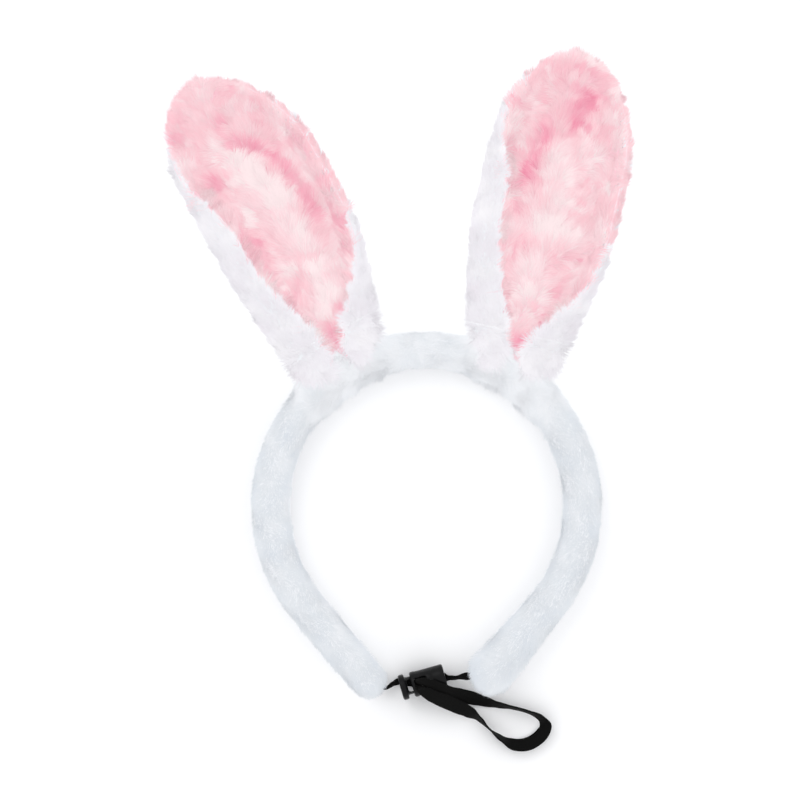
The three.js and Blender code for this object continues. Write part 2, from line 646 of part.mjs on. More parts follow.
for (const ear of ears) {
  const frame = new THREE.Group();
  frame.position.copy(ear.root);
  frame.rotation.z = rad(ear.lean);
  hoop.add(frame);
  const clearance = bendClearance(ear);
  const back = earSheet(ear, SHEET_OFFSET, SHEET_OFFSET + EAR_BACK_THICKNESS);
  const lining = earSheet(ear, -SHEET_OFFSET - EAR_LINING_THICKNESS, -SHEET_OFFSET);
  const felt = earSheet(ear, -FELT_HALF, FELT_HALF, 1);
  node(`${ear.side}_ear_back`, cut(back, clearance), 'whitePlush', frame);
  node(`${ear.side}_ear_interlining`, cut(felt, clearance), 'felt', frame);
  node(`${ear.side}_ear_lining`, cut(lining, clearance, ...legHoles(ear)), 'pinkPlush', frame);
  node(`${ear.side}_ear_wire`, rod(wirePath(ear), WIRE_RADIUS, 6), 'wire', frame);
  node(`${ear.side}_ear_rim_thread`, rimThread(ear), 'thread', frame);
  node(`${ear.side}_ear_base_thread`, baseThread(ear), 'thread', frame);
}

const lock = new THREE.Group();
lock.position.set(LOCK_MOUTH.x, LOCK_MOUTH.y, LOCK_AXIS_Z);
lock.rotation.z = turned;
hoop.add(lock);
node('lock_body', lockBody(), 'blackPlastic', lock);
node('lock_plunger', lockPlunger(), 'blackPlastic', lock);
node('lock_spring', lockSpring(), 'wire', lock);

// the origin goes to the bottom centre of the band and ears: the strap and its lock are left out
const onStrap = /^(strap|lock)_/;
group.updateMatrixWorld(true);
const extent = new THREE.Box3();
for (const mesh of Object.values(nodes)) {
  if (!onStrap.test(mesh.name)) extent.expandByObject(mesh, true);
}
const centre = extent.getCenter(v3());
hoop.position.set(-centre.x, -centre.y, 0);

export default group;
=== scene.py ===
"""Looks of the animal ears headband: a white plush hoop with two pink-lined ears, a black elastic and
its cord lock. Metres, in the row frame. Places are laid out from the hoop's centre, as in CAD."""

import json
import math

import bmesh
import bpy
import numpy as np
from mathutils import Matrix, Vector
from mathutils.bvhtree import BVHTree
from mathutils.kdtree import KDTree


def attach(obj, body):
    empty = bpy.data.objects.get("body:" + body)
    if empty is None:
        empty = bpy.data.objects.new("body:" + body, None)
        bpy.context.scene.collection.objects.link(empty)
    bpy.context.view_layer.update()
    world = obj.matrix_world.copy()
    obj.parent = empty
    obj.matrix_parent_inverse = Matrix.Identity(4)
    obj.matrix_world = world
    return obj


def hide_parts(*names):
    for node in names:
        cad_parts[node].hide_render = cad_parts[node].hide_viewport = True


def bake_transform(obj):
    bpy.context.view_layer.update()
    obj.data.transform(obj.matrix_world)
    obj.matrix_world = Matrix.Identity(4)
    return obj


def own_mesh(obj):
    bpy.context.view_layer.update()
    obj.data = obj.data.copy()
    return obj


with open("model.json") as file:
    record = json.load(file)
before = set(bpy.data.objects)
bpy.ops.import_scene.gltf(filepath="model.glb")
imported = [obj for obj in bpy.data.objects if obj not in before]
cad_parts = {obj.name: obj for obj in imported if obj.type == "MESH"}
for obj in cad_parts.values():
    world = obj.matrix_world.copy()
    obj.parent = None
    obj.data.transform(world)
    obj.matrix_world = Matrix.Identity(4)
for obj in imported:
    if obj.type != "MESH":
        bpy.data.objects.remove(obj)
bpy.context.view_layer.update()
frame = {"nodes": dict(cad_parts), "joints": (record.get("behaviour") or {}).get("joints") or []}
NODES = frame["nodes"]
MM = 0.001

# ------------------------------------------------------------ layout

HOOP_RADIUS = 70.4 * MM
EAR_SPREAD = math.radians(31.5)
JOINTS = {joint["name"]: joint for joint in frame["joints"]}
_left = Vector(JOINTS["left_ear_bend"]["pos_m"])
_right = Vector(JOINTS["right_ear_bend"]["pos_m"])
CENTRE = Vector(((_left.x + _right.x) / 2, _left.y - HOOP_RADIUS * math.cos(EAR_SPREAD), 0))

EARS = {
    "left": {"angle": 90 + 31.5, "lean": 27.8, "bow": 5.0 * MM},
    "right": {"angle": 90 - 31.5, "lean": -12.9, "bow": 0.5 * MM},
}
EAR_START = 2 * MM
EAR_REACH = 145 * MM
for ear in EARS.values():
    turn = math.radians(ear["angle"])
    root = CENTRE + Vector((HOOP_RADIUS * math.cos(turn), HOOP_RADIUS * math.sin(turn), 0))
    ear["matrix"] = Matrix.Translation(root) @ Matrix.Rotation(math.radians(ear["lean"]), 4, "Z")

LOCK_TURN = math.radians(15.8)
LOCK_X = Vector((math.cos(LOCK_TURN), math.sin(LOCK_TURN), 0))
LOCK_Y = Vector((-math.sin(LOCK_TURN), math.cos(LOCK_TURN), 0))
LOCK_AXIS_Z = 7.9 * MM
LOCK_MOUTH = CENTRE + Vector((-6.5 * MM, -80.6 * MM, LOCK_AXIS_Z))
LOCK_FRAME = Matrix.Translation(LOCK_MOUTH) @ Matrix.Rotation(LOCK_TURN, 4, "Z")


def from_centre(x, y, z):
    return CENTRE + Vector((x, y, z)) * MM


def row(values):
    return np.array(values, float)


# ------------------------------------------------------------ camera

camera_data = bpy.data.cameras.new("camera")
camera_data.sensor_width = 36
camera_data.lens = 200
camera_data.clip_end = 20
camera = bpy.data.objects.new("camera", camera_data)
camera.location = from_centre(-11.9, 47.7, 2010)
bpy.context.scene.collection.objects.link(camera)
bpy.context.scene.camera = camera

# ------------------------------------------------------------ meshes


def mesh_from(name, points, faces):
    """A mesh from an array of points and an array of faces with equal corner counts."""
    mesh = bpy.data.meshes.new(name)
    mesh.vertices.add(len(points))
    mesh.vertices.foreach_set("co", np.asarray(points, np.float32).ravel())
    corners = faces.shape[1]
    mesh.loops.add(faces.size)
    mesh.loops.foreach_set("vertex_index", faces.ravel().astype(np.int32))
    mesh.polygons.add(len(faces))
    mesh.polygons.foreach_set("loop_start", np.arange(0, faces.size, corners, dtype=np.int32))
    mesh.update(calc_edges=True)
    mesh.validate()
    return mesh


def piece(name, mesh, material):
    obj = bpy.data.objects.new(name, mesh)
    bpy.context.scene.collection.objects.link(obj)
    mesh.materials.clear()
    mesh.materials.append(material)
    return obj


def smooth_shaded(mesh):
    mesh.polygons.foreach_set("use_smooth", np.ones(len(mesh.polygons), bool))
    mesh.update()


def with_modifiers(obj):
    """Replaces an object's mesh by the one that its modifiers make."""
    graph = bpy.context.evaluated_depsgraph_get()
    made = bpy.data.meshes.new_from_object(obj.evaluated_get(graph))
    obj.modifiers.clear()
    obj.data = made
    return obj


def ringed_mesh(name, rings):
    """Quads round a stack of rings, each an array of points, with fans over the two ends."""
    count = len(rings[0])
    points = np.concatenate(rings + [[rings[0].mean(0)], [rings[-1].mean(0)]])
    k = np.arange(count)
    n = (k + 1) % count
    top = (len(rings) - 1) * count
    first, last = (np.full(count, top + count + end) for end in (0, 1))
    faces = []
    for start in range(0, top, count):
        faces += np.stack([start + k, start + n, start + n + count, start + k + count], 1).tolist()
    faces += np.stack([n, k, first], 1).tolist() + np.stack([top + k, top + n, last], 1).tolist()
    mesh = bpy.data.meshes.new(name)
    mesh.from_pydata(points.tolist(), [], faces)
    made = bmesh.new()
    made.from_mesh(mesh)
    bmesh.ops.recalc_face_normals(made, faces=made.faces)
    made.to_mesh(mesh)
    made.free()
    smooth_shaded(mesh)
    return mesh


# ------------------------------------------------------------ materials


def material(name, colour, roughness, specular=0.3, sheen=0.0):
    made = bpy.data.materials.new(name)
    made.use_nodes = True
    shader = made.node_tree.nodes["Principled BSDF"]
    shader.inputs["Base Color"].default_value = (*colour, 1)
    shader.inputs["Roughness"].default_value = roughness
    shader.inputs["Specular IOR Level"].default_value = specular
    if sheen:
        shader.inputs["Sheen Weight"].default_value = sheen
        shader.inputs["Sheen Roughness"].default_value = 0.5
    return made


def add_node(made, kind, **values):
    node = made.node_tree.nodes.new(kind)
    for key, value in values.items():
        node.inputs[key].default_value = value
    return node


def grained(made, scale, strength, distance, detail=3.0):
    """Fine relief from procedural noise."""
    tree = made.node_tree
    noise = add_node(made, "ShaderNodeTexNoise", Scale=scale, Detail=detail)
    bump = add_node(made, "ShaderNodeBump", Strength=strength, Distance=distance)
    tree.links.new(noise.outputs["Fac"], bump.inputs["Height"])
    tree.links.new(bump.outputs["Normal"], tree.nodes["Principled BSDF"].inputs["Normal"])
    return made


def ramp(made, stops):
    node = made.node_tree.nodes.new("ShaderNodeValToRGB")
    points = node.color_ramp.elements
    while len(points) < len(stops):
        points.new(0.5)
    for point, (at, colour) in zip(points, stops):
        point.position = at
        point.color = (*colour, 1)
    return node


def pile(name, tones, painted_root_shade, roughness=0.95, sheen=0.0):
    """Fur: the colour is a chart over the strands' own UV layer, tone across it and root to tip up it.
    The layer is named OFBake, so that the export bakes over it and doesn't unwrap the strands again."""
    made = material(name, tones[len(tones) // 2][1], roughness, 0.15, sheen)
    tree = made.node_tree
    chart = tree.nodes.new("ShaderNodeUVMap")
    chart.uv_map = "OFBake"
    split = tree.nodes.new("ShaderNodeSeparateXYZ")
    tone = ramp(made, tones)
    # painted shade: the colour darkens towards the roots, where shade falls deep in the pile
    shade = ramp(made, [(0.0, (painted_root_shade,) * 3), (0.75, (1, 1, 1))])
    product = tree.nodes.new("ShaderNodeMix")
    product.data_type = "RGBA"
    product.blend_type = "MULTIPLY"
    product.inputs["Factor"].default_value = 1
    tree.links.new(chart.outputs["UV"], split.inputs["Vector"])
    tree.links.new(split.outputs["X"], tone.inputs["Fac"])
    tree.links.new(split.outputs["Y"], shade.inputs["Fac"])
    tree.links.new(tone.outputs["Color"], product.inputs[6])
    tree.links.new(shade.outputs["Color"], product.inputs[7])
    tree.links.new(product.outputs[2], tree.nodes["Principled BSDF"].inputs["Base Color"])
    return made


WHITE_TONES = [(0.0, (0.67, 0.71, 0.758)), (0.5, (0.735, 0.763, 0.792)), (1.0, (0.85, 0.86, 0.88))]
PINK_TONES = [
    (0.0, (0.86, 0.26, 0.375)),
    (0.3, (0.90, 0.41, 0.50)),
    (0.6, (0.925, 0.57, 0.615)),
    (0.85, (0.94, 0.70, 0.725)),
    (1.0, (0.95, 0.80, 0.80)),
]
WHITE_FUR = pile("white_fur", WHITE_TONES, 0.97)
# the pinkish low end of these tones is painted reflection of the pink lining
EAR_WHITE_FUR = pile(
    "ear_white_fur",
    [(0.0, (0.81, 0.76, 0.80)), (0.5, (0.845, 0.82, 0.855)), (1.0, (0.905, 0.885, 0.90))],
    0.97,
)
PINK_FUR = pile("pink_fur", PINK_TONES, 0.93)
# the white sheet is lighter than the hoop's white pile: painted light that lifts its shade where it
# shows between the strands
WHITE_BACKING = grained(
    material("white_backing", (0.84, 0.855, 0.88), 0.95, 0.1), 1400, 0.3, 0.3 * MM,
)
PINK_BACKING = grained(
    material("pink_backing", (0.94, 0.56, 0.64), 0.95, 0.1), 1400, 0.3, 0.3 * MM,
)

# ------------------------------------------------------------ smooth noise and sampling


def waves(points, wavelength, seed, count=7):
    """Smooth noise of about unit size over points, from a few plane waves."""
    rng = np.random.default_rng(seed)
    ways = rng.normal(size=(count, 3))
    ways /= np.linalg.norm(ways, axis=1, keepdims=True)
    pace = rng.uniform(0.7, 1.5, count) * 2 * math.pi / wavelength
    phase = rng.uniform(0, 2 * math.pi, count)
    return np.sin(points @ (ways * pace[:, None]).T + phase).sum(1) * math.sqrt(2 / count)


def unit(vectors):
    return vectors / np.maximum(np.linalg.norm(vectors, axis=1, keepdims=True), 1e-12)


def node_tree_of(*names):
    """A ray tree over the meshes of CAD nodes."""
    points, faces = [], []
    for name in names:
        mesh = NODES[name].data
        start = len(points)
        points += [v.co.copy() for v in mesh.vertices]
        faces += [[start + i for i in p.vertices] for p in mesh.polygons]
    return BVHTree.FromPolygons(points, faces)


SKIN_HUG = 0.7  # how far a rounded sheet is drawn back to the CAD solid


def skin(name, node, coat, body):
    """A rounded copy of a plush CAD solid, which the fur grows from. It casts no shadow into the pile,
    and the ears' sheets take no light from each other, because real pile glows in its folds."""
    made = bmesh.new()
    made.from_mesh(NODES[node].data)
    bmesh.ops.remove_doubles(made, verts=made.verts, dist=5e-6)
    bmesh.ops.dissolve_degenerate(made, edges=made.edges, dist=1e-6)
    bmesh.ops.join_triangles(
        made, faces=made.faces, angle_face_threshold=0.7, angle_shape_threshold=1.2,
    )
    mesh = bpy.data.meshes.new(name)
    made.to_mesh(mesh)
    made.free()
    obj = piece(name, mesh, coat)
    rounded = obj.modifiers.new("rounded", "SUBSURF")
    rounded.levels = rounded.render_levels = 2
    with_modifiers(obj)
    cad = node_tree_of(node)
    for vertex in obj.data.vertices:
        vertex.co = vertex.co.lerp(cad.find_nearest(vertex.co)[0], SKIN_HUG)
    obj.visible_shadow = False
    obj.visible_diffuse = body == "root"
    smooth_shaded(obj.data)
    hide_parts(node)
    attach(obj, body)
    return obj


def outward_triangles(obj, blockers, reach):
    """The corners, corner normals and areas of the triangles that nothing near lies over."""
    mesh = obj.data
    mesh.calc_loop_triangles()
    corners = np.zeros(len(mesh.loop_triangles) * 3, np.int32)
    mesh.loop_triangles.foreach_get("vertices", corners)
    corners = corners.reshape(-1, 3)
    at = np.zeros(len(mesh.vertices) * 3)
    mesh.vertices.foreach_get("co", at)
    at = at.reshape(-1, 3)
    normals = np.zeros(len(mesh.vertices) * 3)
    mesh.vertices.foreach_get("normal", normals)
    normals = normals.reshape(-1, 3)
    a, b, c = (at[corners[:, i]] for i in range(3))
    cross = np.cross(b - a, c - a)
    area = np.linalg.norm(cross, axis=1) / 2
    facing = unit(cross)
    middle = (a + b + c) / 3
    keep = np.ones(len(corners), bool)
    for i in range(len(corners)):
        start = Vector(middle[i] + facing[i] * 0.2 * MM)
        keep[i] = blockers.ray_cast(start, Vector(facing[i]), reach)[0] is None
    keep &= area > 1e-12
    return at[corners[keep]], normals[corners[keep]], area[keep]


def scattered(triangles, count, weight, seed):
    """Points and smooth normals spread over triangles, by area times a weight at the middle."""
    at, normals, area = triangles
    share = area * weight(at.mean(1))
    rng = np.random.default_rng(seed)
    chosen = rng.choice(len(at), count, p=share / share.sum())
    u, v = rng.random(count), rng.random(count)
    over = u + v > 1
    u[over], v[over] = 1 - u[over], 1 - v[over]
    mix = np.stack([1 - u - v, u, v], 1)[:, :, None]
    return (at[chosen] * mix).sum(1), unit((normals[chosen] * mix).sum(1))


# ------------------------------------------------------------ fur

FLOOR_CLEARANCE = 0.25 * MM
STRAND_THICKNESS = 0.02 * MM
MOST_TRIANGLES = 195000  # in one piece, so that the export keeps every strand
ROOT_SHADING = 0.6  # how much of the sheet's own normal a strand's shading takes
UP_BIAS = 0.5  # how far the strands' shading leans to the light overhead
LEAST_FACING = 0.4  # how far each face of a strand is shaded towards its own side


def fur(name, roots, normals, comb, length, tone, coat, body, seed,
        width, stand, lay, tufts, pull, segments=2, stray=0.2, tufted=0.05):
    """Tapered strands that rise from their roots, lie over along comb and gather in tufts.
    stand and lay are how upright a strand is at its root and at its tip, pull is how far its tip goes
    to its tuft's, and tufted is how much the tone varies from tuft to tuft."""
    rng = np.random.default_rng(seed)
    count = len(roots)
    comb = comb - normals * (comb * normals).sum(1, keepdims=True)
    comb = unit(comb + rng.normal(scale=stray, size=(count, 3)))
    first = unit(normals * stand + comb * (1 - stand * 0.6) + rng.normal(scale=0.08, size=(count, 3)))
    last = unit(normals * lay + comb + rng.normal(scale=0.12, size=(count, 3)))
    length = (length * rng.uniform(0.72, 1.12, count))[:, None]

    def along(t):
        return roots + length * (first * (t - t * t / 2) + last * (t * t / 2))

    leaders = rng.choice(count, min(count, tufts), replace=False)
    centres = KDTree(len(leaders))
    for i in leaders:
        centres.insert(roots[i], int(i))
    centres.balance()
    nearest = np.array([centres.find(p)[1] for p in roots])
    tip = along(1.0)
    towards = tip[nearest] - tip
    against = np.minimum((towards * comb).sum(1, keepdims=True), 0)
    towards -= comb * against * 0.9
    reach = np.linalg.norm(towards, axis=1, keepdims=True)
    towards *= np.minimum(1, length * 0.7 / np.maximum(reach, 1e-9))

    shares = np.linspace(0, 1, segments + 1)
    middle = [along(t) + towards * (pull * t ** 1.6) for t in shares]
    for points in middle:
        low = points[:, 2] < FLOOR_CLEARANCE
        points[low, 2] = FLOOR_CLEARANCE
    way = unit(middle[-1] - middle[0])
    facing = unit(normals + row([0, 0, 0.6])) + rng.normal(scale=0.2, size=(count, 3))
    across = unit(np.cross(way, facing))
    front = unit(np.cross(across, way))
    width = width * rng.uniform(0.7, 1.25, count)[:, None]
    of_tuft = rng.normal(scale=tufted, size=count)[nearest]
    tone = np.clip(tone + of_tuft + rng.normal(scale=0.05, size=count), 0.03, 0.97)
    one_side, chart = [], []
    for t, centre in zip(shares[:-1], middle[:-1]):
        half = across * width * (1 - 0.75 * t ** 1.5) / 2
        one_side += [centre - half, centre + half]
        chart += [(tone - 0.02, t), (tone + 0.02, t)]
    one_side.append(middle[-1])
    chart.append((tone, 1.0))
    each = len(one_side)
    points = np.stack(one_side + [p - front * STRAND_THICKNESS for p in one_side], 1)
    uv = np.stack([np.stack([u, np.full(count, v)], 1) for u, v in chart * 2], 1)
    soft = normals * ROOT_SHADING + row([0, 0, UP_BIAS])
    shaded = []
    for face in (front, -front):
        lean = np.maximum(LEAST_FACING / 2, LEAST_FACING - (soft * face).sum(1, keepdims=True))
        shaded.append(unit(soft + face * lean))
    shaded = np.stack([shaded[0]] * each + [shaded[1]] * each, 1)
    below_tip = 2 * (segments - 1)
    local = [[below_tip, below_tip + 1, below_tip + 2]]
    for k in range(0, below_tip, 2):
        local += [[k, k + 1, k + 3], [k, k + 3, k + 2]]
    local += [[c + each, b + each, a + each] for a, b, c in local]
    local = np.array(local)
    parts = math.ceil(count * len(local) / MOST_TRIANGLES)
    for part in range(parts):
        chosen = slice(part, None, parts)
        number = len(points[chosen])
        faces = (np.arange(number)[:, None, None] * 2 * each + local[None]).reshape(-1, 3)
        mesh = mesh_from(name, points[chosen].reshape(-1, 3), faces)
        layer = mesh.uv_layers.new(name="OFBake")
        corner = np.zeros(len(mesh.loops), np.int32)
        mesh.loops.foreach_get("vertex_index", corner)
        layer.data.foreach_set("uv", uv[chosen].reshape(-1, 2)[corner].astype(np.float32).ravel())
        smooth_shaded(mesh)
        mesh.normals_split_custom_set_from_vertices(shaded[chosen].reshape(-1, 3).tolist())
        obj = piece(f"{name}_{part + 1}", mesh, coat)
        obj.visible_shadow = False
        obj.visible_diffuse = False
        obj.visible_glossy = False
        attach(obj, body)


def tuft_count(triangles, across):
    """How many tufts of that width cover the triangles."""
    return int(triangles[2].sum() / across ** 2)


def swirl(comb, normals, angle):
    """Turns comb about normals by an angle for each strand."""
    c, s = np.cos(angle)[:, None], np.sin(angle)[:, None]
    return comb * c + np.cross(normals, comb) * s


# ------------------------------------------------------------ the hoop's plush


def smoothstep(x, low, high):
    t = np.clip((x - low) / (high - low), 0, 1)
    return t * t * (3 - 2 * t)


EAR_ROOTS = [np.array(ear["matrix"].translation) for ear in EARS.values()]


def near_ear(points):
    """1 beside an ear's root on the band, 0 away from it."""
    flat = [np.linalg.norm((points - root)[:, :2], axis=1) for root in EAR_ROOTS]
    return 1 - smoothstep(np.minimum(*flat), 13 * MM, 30 * MM)


band_skin = skin("plush_cover", "band_cover", WHITE_BACKING, "root")
band_blockers = BVHTree.FromPolygons(
    [v.co.copy() for v in band_skin.data.vertices],
    [list(p.vertices) for p in band_skin.data.polygons],
)
band_triangles = outward_triangles(band_skin, band_blockers, 17 * MM)
centre = np.array(CENTRE)


CROWN_WIDTH = 22 * MM


def band_fur(name, side, count, seed):
    """Short pile over the half of the hoop on one side of its middle, combed down to the arm's end."""
    def weight(p):
        on_side = smoothstep((p[:, 0] - centre[0]) * side, -9 * MM, 9 * MM)
        upper = 0.45 + 0.55 * smoothstep(p[:, 2], 1 * MM, 5 * MM)
        return on_side * upper * (1 + 0.5 * near_ear(p))

    roots, normals = scattered(band_triangles, count, weight, seed)
    flat = roots - centre
    radius = np.maximum(np.hypot(flat[:, 0], flat[:, 1]), 1e-6)
    down = np.stack([flat[:, 1], -flat[:, 0], np.zeros(len(flat))], 1) / radius[:, None] * side
    straight = smoothstep(-flat[:, 1], 30 * MM, 60 * MM)[:, None]
    crown = np.exp(-((flat[:, 0:1] / CROWN_WIDTH) ** 2)) * (flat[:, 1:2] > 0)
    ruffle = 0.3 * crown * waves(roots, 18 * MM, 5)[:, None]
    down = down * (1 - 0.7 * crown) + row([0, 1, 0]) * ruffle
    down = down * (1 - straight) + row([-side * 0.6, -0.8, 0]) * straight
    out = np.stack([flat[:, 0], flat[:, 1], np.zeros(len(flat))], 1) / radius[:, None]
    close = near_ear(roots)[:, None]
    turn = 0.5 * waves(roots, 22 * MM, seed + 1)
    turn += 0.9 * close[:, 0] * waves(roots, 14 * MM, seed + 2)
    comb = swirl(unit(down + out * 0.3 * close), normals, turn)
    top = smoothstep(flat[:, 1], 20 * MM, 60 * MM)
    end = smoothstep(-flat[:, 1], 52 * MM, 72 * MM) * (1.2 if side > 0 else 0.3)
    length = (2.3 + 0.5 * top + 3.4 * close[:, 0] + end) * MM
    length *= 1 + 0.12 * waves(roots, 9 * MM, seed + 3)
    tone = 0.46 + 0.30 * top + 0.25 * close[:, 0] + 0.10 * waves(roots, 16 * MM, seed + 4)
    tufts = tuft_count(band_triangles, 2.6 * MM)
    fur(name, roots, normals, comb, length, tone, WHITE_FUR, "root", seed,
        width=0.27 * MM, stand=0.65, lay=0.4, tufts=tufts, pull=0.3, segments=1)


BAND_STRANDS = 80000
band_fur("fur_band_left", -1, BAND_STRANDS, 11)
band_fur("fur_band_right", 1, BAND_STRANDS, 12)

# ------------------------------------------------------------ the ears' plush


def beside(line, x, share, width):
    """1 on a line of (x in millimetres, share of the length) points over an ear, 0 away from it."""
    at = np.stack([x, share * (EAR_REACH - EAR_START) / MM], 1)
    ends = row([[a, b * (EAR_REACH - EAR_START) / MM] for a, b in line])
    nearest = np.full(len(x), 1e9)
    for one, two in zip(ends, ends[1:]):
        step = two - one
        t = np.clip((at - one) @ step / (step @ step), 0, 1)
        nearest = np.minimum(nearest, np.linalg.norm(at - one - t[:, None] * step, axis=1))
    return np.exp(-(nearest / width) ** 2)


# painted light along streaks and painted shade in the folds of the pink pile: a line over the ear, its
# width in millimetres, its tone
PAINTED_LIGHT_LINES = {
    "left": [([(-5, 0.79), (4.7, 0.57), (6, 0.36), (4, 0.2)], 4.5, 0.34)],
    "right": [
        ([(-3, 0.68), (6, 0.55), (1.4, 0.33), (0, 0.22)], 5.5, 0.26),
        ([(10, 0.72), (13, 0.66)], 4, 0.16),
    ],
}
PAINTED_SHADE_LINES = {
    "left": [
        ([(0.7, 0.84), (1.4, 0.77), (11.9, 0.66), (15, 0.49)], 3.4, 0.42),
        ([(2, 0.1), (1, 0.02)], 4, 0.3),
        ([(-15, 0.7), (-13, 0.5), (-6, 0.2)], 3, 0.12),
    ],
    "right": [
        ([(7, 0.87), (2.3, 0.78)], 6, 0.5),
        ([(-7, 0.74), (-11.5, 0.545)], 3, 0.42),
        ([(2, 0.1), (1, 0.02)], 4, 0.3),
    ],
}


def in_ear(ear, points):
    """Points in an ear's frame: across, along and up, and the share of its length."""
    back = np.array(ear["matrix"].inverted())
    local = points @ back[:3, :3].T + back[:3, 3]
    share = (local[:, 1] - EAR_START) / (EAR_REACH - EAR_START)
    local[:, 0] -= ear["bow"] * np.sin(math.pi * np.clip(share, 0, 1))
    return local, share


def ear_ways(ear):
    """The ear's across and along directions in the row frame."""
    turn = np.array(ear["matrix"])[:3, :3]
    return turn[:, 0], turn[:, 1]


def thread_tree(side):
    """A tree of the points on the thread round an ear's rim."""
    vertices = NODES[f"{side}_ear_rim_thread"].data.vertices
    tree = KDTree(len(vertices))
    for vertex in vertices:
        tree.insert(vertex.co, vertex.index)
    tree.balance()
    return tree


RIMS = {side: thread_tree(side) for side in EARS}


def near_rim(side, points, width):
    """1 beside the thread round an ear's rim, 0 further off than width."""
    distance = np.array([RIMS[side].find(p)[2] for p in points])
    return 1 - smoothstep(distance, 0.4 * width, width)


def ear_back_fur(side, count, seed):
    ear = EARS[side]
    body = f"{side}_ear"
    back = skin(f"{side}_ear_white_sheet", f"{side}_ear_back", WHITE_BACKING, body)
    blockers = node_tree_of(f"{side}_ear_interlining", f"{side}_ear_lining")
    triangles = outward_triangles(back, blockers, 3.4 * MM)

    def weight(p):
        share = in_ear(ear, p)[1]
        upper = 0.5 + 0.5 * smoothstep(p[:, 2], 2 * MM, 7 * MM)
        return upper * (1 + 0.4 * (share < 0.25) + 2.0 * near_rim(side, p, 4 * MM))

    roots, normals = scattered(triangles, count, weight, seed)
    local, share = in_ear(ear, roots)
    across, along = ear_ways(ear)
    base = 1 - smoothstep(share, 0.06, 0.22)
    to_rim = np.cross(normals, along[None]) * np.clip(local[:, 0:1] / (6 * MM), -1, 1)
    rim = near_rim(side, roots, 5 * MM)
    onward = (2 * smoothstep(share, 0.05, 0.13) - 1)[:, None]
    sideways = (0.5 * base * waves(roots, 17 * MM, seed + 5))[:, None]
    comb = along[None] * onward + to_rim * (0.25 + 0.5 * rim)[:, None] + across[None] * sideways
    turn = 0.35 * waves(roots, 20 * MM, seed + 1) + 0.5 * base * waves(roots, 10 * MM, seed + 2)
    comb = swirl(unit(comb), normals, turn)
    length = (4.6 + 2.2 * base) * MM * (1 + 0.15 * waves(roots, 8 * MM, seed + 3))
    tone = 0.55 + 0.14 * waves(roots, 18 * MM, seed + 4)
    # the pink pile shows round the rim on the open side and at the tip
    open_rim = (local[:, 0] > 0) & (share > 0.44) | (share > 0.9)
    ragged = 0.25 + 0.15 * np.clip(waves(roots, 6 * MM, seed + 6), -1, 1)
    pink = open_rim & (near_rim(side, roots, 6 * MM) > ragged)
    tone[pink] = 0.68
    stray = (0.2 + 0.35 * base)[:, None]
    kinds = ("back", ~pink, EAR_WHITE_FUR, "white_plush"), ("rim", pink, PINK_FUR, "pink_plush")
    for name, on, coat, slot in kinds:
        tufts = int(tuft_count(triangles, 3.2 * MM) * on.mean())
        fur(f"fur_{side}_ear_{name}", roots[on], normals[on], comb[on], length[on], tone[on], coat,
            body, seed, width=0.28 * MM, stand=0.6, lay=0.22, tufts=tufts, pull=0.4,
            stray=stray[on])


def ear_lining_fur(side, count, seed):
    ear = EARS[side]
    body = f"{side}_ear"
    lining = skin(f"{side}_ear_pink_sheet", f"{side}_ear_lining", PINK_BACKING, body)
    blockers = node_tree_of(f"{side}_ear_interlining", f"{side}_ear_back")
    triangles = outward_triangles(lining, blockers, 3.4 * MM)
    roots, normals = scattered(triangles, count, lambda p: 1 + 2.5 * near_rim(side, p, 4 * MM), seed)
    local, share = in_ear(ear, roots)
    rim = near_rim(side, roots, 5 * MM)
    along = ear_ways(ear)[1]
    x = local[:, 0] / MM
    to_rim = np.cross(along[None], normals) * np.clip(x / 8, -1, 1)[:, None]
    tip = smoothstep(share, 0.66, 0.95)
    comb = along[None] * (0.65 + 0.3 * tip)[:, None] + to_rim * (0.8 + 0.8 * rim)[:, None]
    turn = 0.55 * waves(roots, 24 * MM, seed + 1) + 0.25 * waves(roots, 9 * MM, seed + 2)
    comb = swirl(unit(comb), normals, turn)
    length = (6.2 + 2.6 * smoothstep(share, 0.1, 0.5)) * MM * (1 - 0.32 * np.maximum(rim, tip))
    length *= 1 + 0.16 * waves(roots, 10 * MM, seed + 3)
    tone = 0.66 + 0.07 * waves(roots, 15 * MM, seed + 4) + 0.10 * rim
    # painted light along the streaks, then painted shade in the folds
    for line, wide, depth in PAINTED_LIGHT_LINES[side]:
        tone += depth * beside(line, x, share, wide)
    for line, wide, depth in PAINTED_SHADE_LINES[side]:
        tone -= depth * beside(line, x, share, wide)
    tufts = tuft_count(triangles, 4.2 * MM)
    fur(f"fur_{side}_ear_lining", roots, normals, comb, length, tone, PINK_FUR, body,
        seed, width=0.27 * MM, stand=0.7, lay=0.28, tufts=tufts, pull=0.5, tufted=0.09)


EAR_STRANDS = 54000
for number, side in enumerate(("left", "right")):
    ear_back_fur(side, EAR_STRANDS, 30 + 10 * number)
    ear_lining_fur(side, EAR_STRANDS, 60 + 10 * number)

# ------------------------------------------------------------ strap

STRAND_X = 3.0  # of the strands along the lock's axis, in millimetres from its mouth
STRAND_SHIFT = 1.3  # of each strand off the axis


def in_hole(side, z):
    at = (LOCK_MOUTH - CENTRE) / MM + LOCK_X * STRAND_X + LOCK_Y * side * STRAND_SHIFT
    return (at.x, at.y, z)


